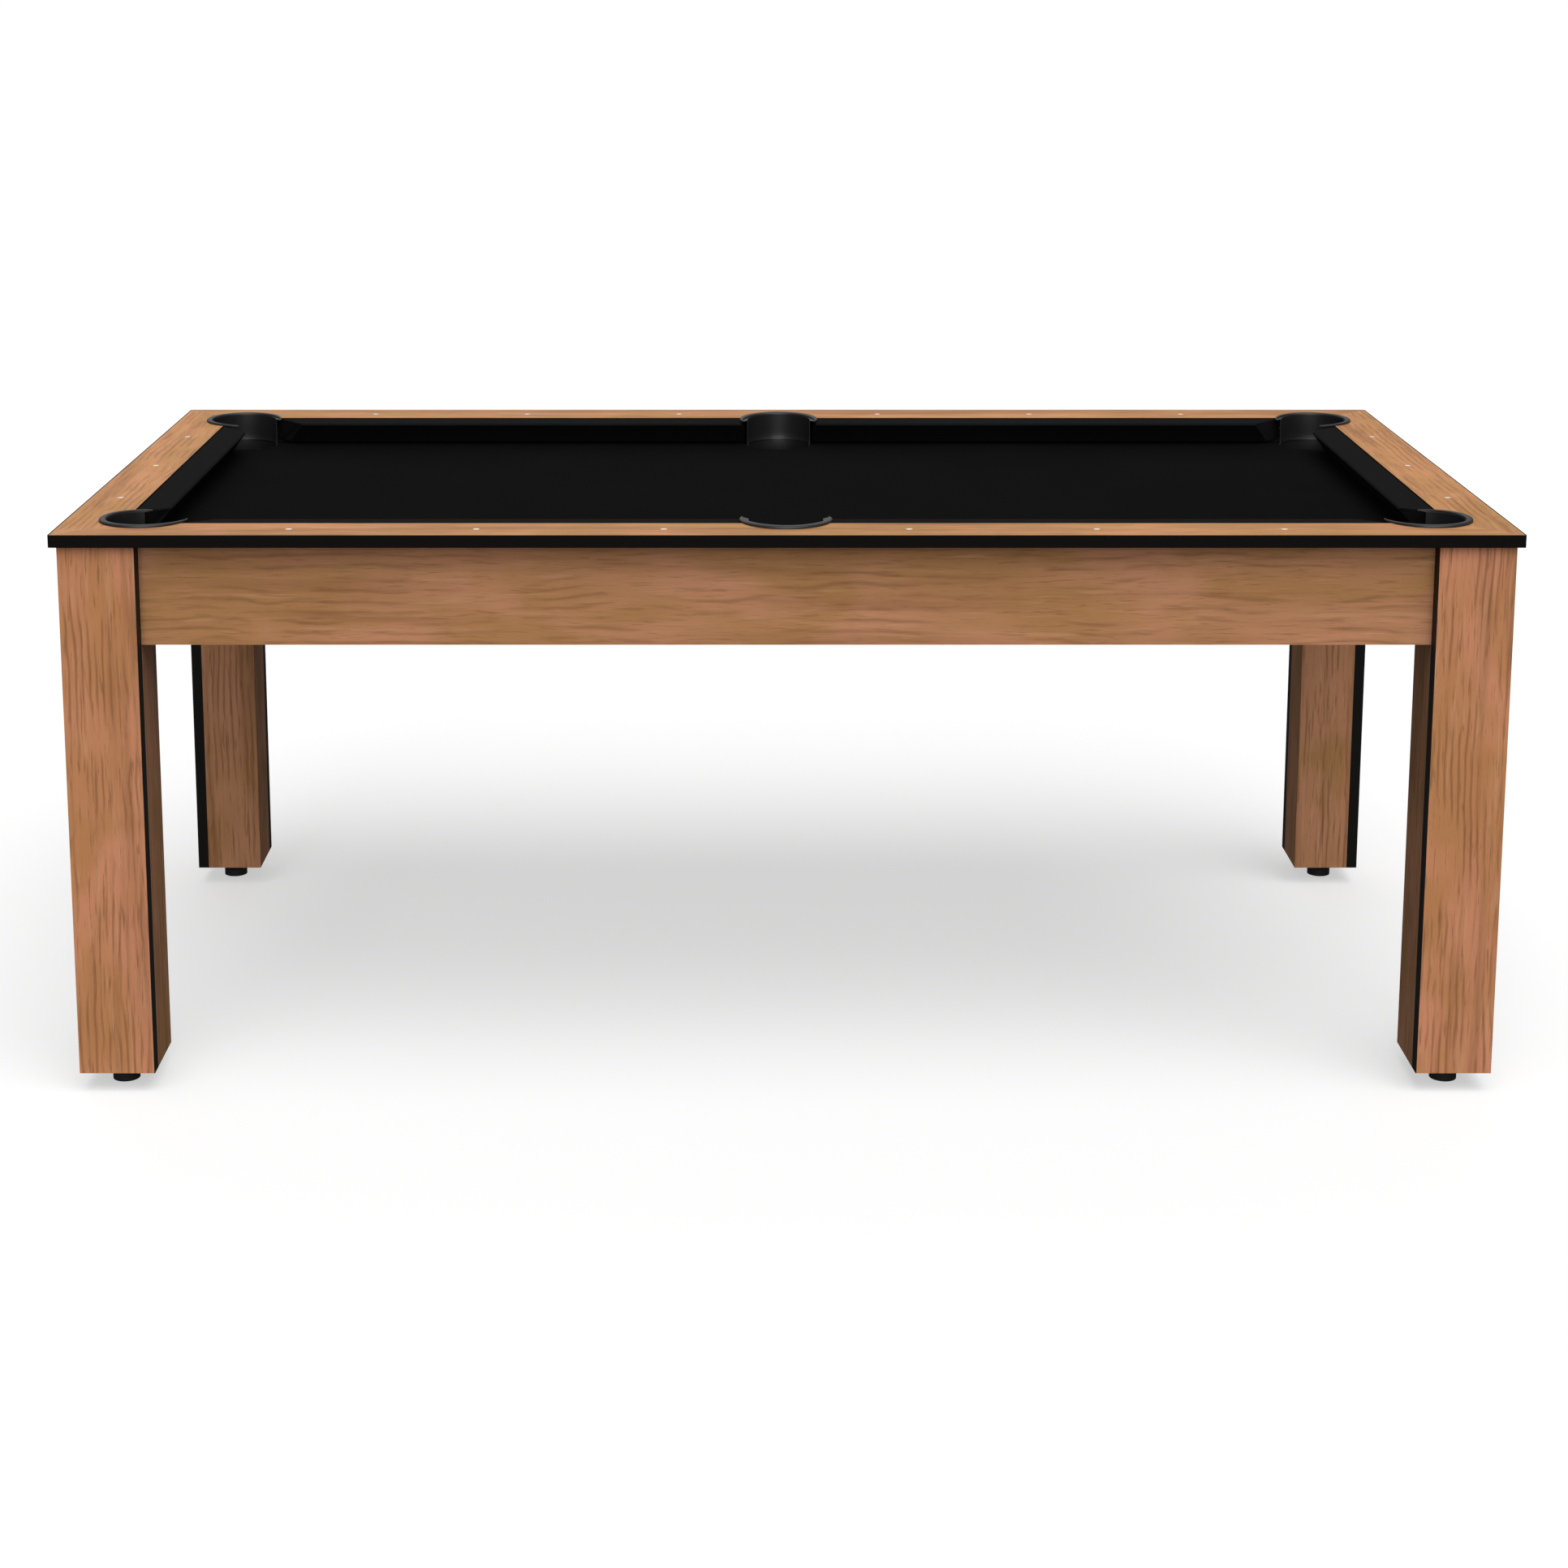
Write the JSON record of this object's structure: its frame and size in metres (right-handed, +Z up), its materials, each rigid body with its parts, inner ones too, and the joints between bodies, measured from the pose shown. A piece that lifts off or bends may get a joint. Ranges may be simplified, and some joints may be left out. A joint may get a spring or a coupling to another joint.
{
  "type": "pool table",
  "caption": "Dining-style pool table with a wood-grain frame, black edge bands, black cloth, drop pockets and square legs on levelling feet.",
  "frame": {"origin": "on the floor under the middle of the table", "axes": "+X along the table's length, +Y across its width from front to rear, +Z up"},
  "size_m": [2.1, 1.1, 0.8465],
  "materials": {
    "rail_laminate": "satin wood-grain laminate",
    "apron_laminate": "satin wood-grain laminate, grain along the table",
    "leg_laminate": "satin wood-grain laminate, upright grain, black edge bands",
    "edge_band": "satin black edge band",
    "sight_pearl": "polished pearl",
    "timber": "raw sawn softwood",
    "cushion_cloth": "black woven cloth over rubber",
    "bed_cloth": "black woven billiard cloth",
    "fibreboard": "raw fibreboard",
    "rim_plastic": "satin black moulding",
    "cup_plastic": "matt black moulding",
    "foot_rubber": "matt black",
    "zinc_steel": "zinc plated"
  },
  "bodies": {
    "table": {"apron_front": "apron_laminate", "apron_left": "apron_laminate", "apron_rear": "apron_laminate", "apron_right": "apron_laminate", "bed_cloth": "bed_cloth", "bed_slab": "fibreboard", "cross_beams": "timber", "cushion_front_left": "cushion_cloth", "cushion_front_right": "cushion_cloth", "cushion_left": "cushion_cloth", "cushion_rear_left": "cushion_cloth", "cushion_rear_right": "cushion_cloth", "cushion_right": "cushion_cloth", "foot_blocks": "timber", "leg_bolts": "zinc_steel", "leg_front_left_end_panel": "leg_laminate", "leg_front_left_face_panel": "leg_laminate", "leg_front_left_inner_panels": "leg_laminate", "leg_front_right_end_panel": "leg_laminate", "leg_front_right_face_panel": "leg_laminate", "leg_front_right_inner_panels": "leg_laminate", "leg_rear_left_end_panel": "leg_laminate", "leg_rear_left_face_panel": "leg_laminate", "leg_rear_left_inner_panels": "leg_laminate", "leg_rear_right_end_panel": "leg_laminate", "leg_rear_right_face_panel": "leg_laminate", "leg_rear_right_inner_panels": "leg_laminate", "leg_top_plates": "timber", "pocket_cup_front_left": "cup_plastic", "pocket_cup_front_middle": "cup_plastic", "pocket_cup_front_right": "cup_plastic", "pocket_cup_rear_left": "cup_plastic", "pocket_cup_rear_middle": "cup_plastic", "pocket_cup_rear_right": "cup_plastic", "pocket_rim_front_left": "rim_plastic", "pocket_rim_front_middle": "rim_plastic", "pocket_rim_front_right": "rim_plastic", "pocket_rim_rear_left": "rim_plastic", "pocket_rim_rear_middle": "rim_plastic", "pocket_rim_rear_right": "rim_plastic", "rail_bolts": "zinc_steel", "rail_edging": "edge_band", "rail_liner_front": "timber", "rail_liner_left": "timber", "rail_liner_rear": "timber", "rail_liner_right": "timber", "rail_sights": "sight_pearl", "rail_top_front": "rail_laminate", "rail_top_left": "rail_laminate", "rail_top_rear": "rail_laminate", "rail_top_right": "rail_laminate", "tee_nuts": "zinc_steel"},
    "foot_front_left": {"foot_pad_front_left": "foot_rubber"},
    "stem_front_left": {"foot_stem_front_left": "zinc_steel"},
    "foot_front_right": {"foot_pad_front_right": "foot_rubber"},
    "stem_front_right": {"foot_stem_front_right": "zinc_steel"},
    "foot_rear_left": {"foot_pad_rear_left": "foot_rubber"},
    "stem_rear_left": {"foot_stem_rear_left": "zinc_steel"},
    "foot_rear_right": {"foot_pad_rear_right": "foot_rubber"},
    "stem_rear_right": {"foot_stem_rear_right": "zinc_steel"}
  },
  "joints": [
    {"name": "foot_travel_front_left", "type": "slide", "parent": "table", "child": "foot_front_left", "axis": [0, 0, -1], "range_m": [0, 0.012]},
    {"name": "foot_turn_front_left", "type": "hinge", "parent": "foot_front_left", "child": "stem_front_left", "pos_m": [-0.9845, -0.4785, 0.02], "axis": [0, 0, -1], "range_deg": [0, 2880]},
    {"name": "foot_travel_front_right", "type": "slide", "parent": "table", "child": "foot_front_right", "axis": [0, 0, -1], "range_m": [0, 0.012]},
    {"name": "foot_turn_front_right", "type": "hinge", "parent": "foot_front_right", "child": "stem_front_right", "pos_m": [0.9845, -0.4785, 0.02], "axis": [0, 0, -1], "range_deg": [0, 2880]},
    {"name": "foot_travel_rear_left", "type": "slide", "parent": "table", "child": "foot_rear_left", "axis": [0, 0, -1], "range_m": [0, 0.012]},
    {"name": "foot_turn_rear_left", "type": "hinge", "parent": "foot_rear_left", "child": "stem_rear_left", "pos_m": [-0.9845, 0.4785, 0.02], "axis": [0, 0, -1], "range_deg": [0, 2880]},
    {"name": "foot_travel_rear_right", "type": "slide", "parent": "table", "child": "foot_rear_right", "axis": [0, 0, -1], "range_m": [0, 0.012]},
    {"name": "foot_turn_rear_right", "type": "hinge", "parent": "foot_rear_right", "child": "stem_rear_right", "pos_m": [0.9845, 0.4785, 0.02], "axis": [0, 0, -1], "range_deg": [0, 2880]}
  ],
  "couplings": [
    {"joint": "foot_turn_front_left", "follows": "foot_travel_front_left", "rad_per_m": 4188.8},
    {"joint": "foot_turn_front_right", "follows": "foot_travel_front_right", "rad_per_m": 4188.8},
    {"joint": "foot_turn_rear_left", "follows": "foot_travel_rear_left", "rad_per_m": 4188.8},
    {"joint": "foot_turn_rear_right", "follows": "foot_travel_rear_right", "rad_per_m": 4188.8}
  ]
}
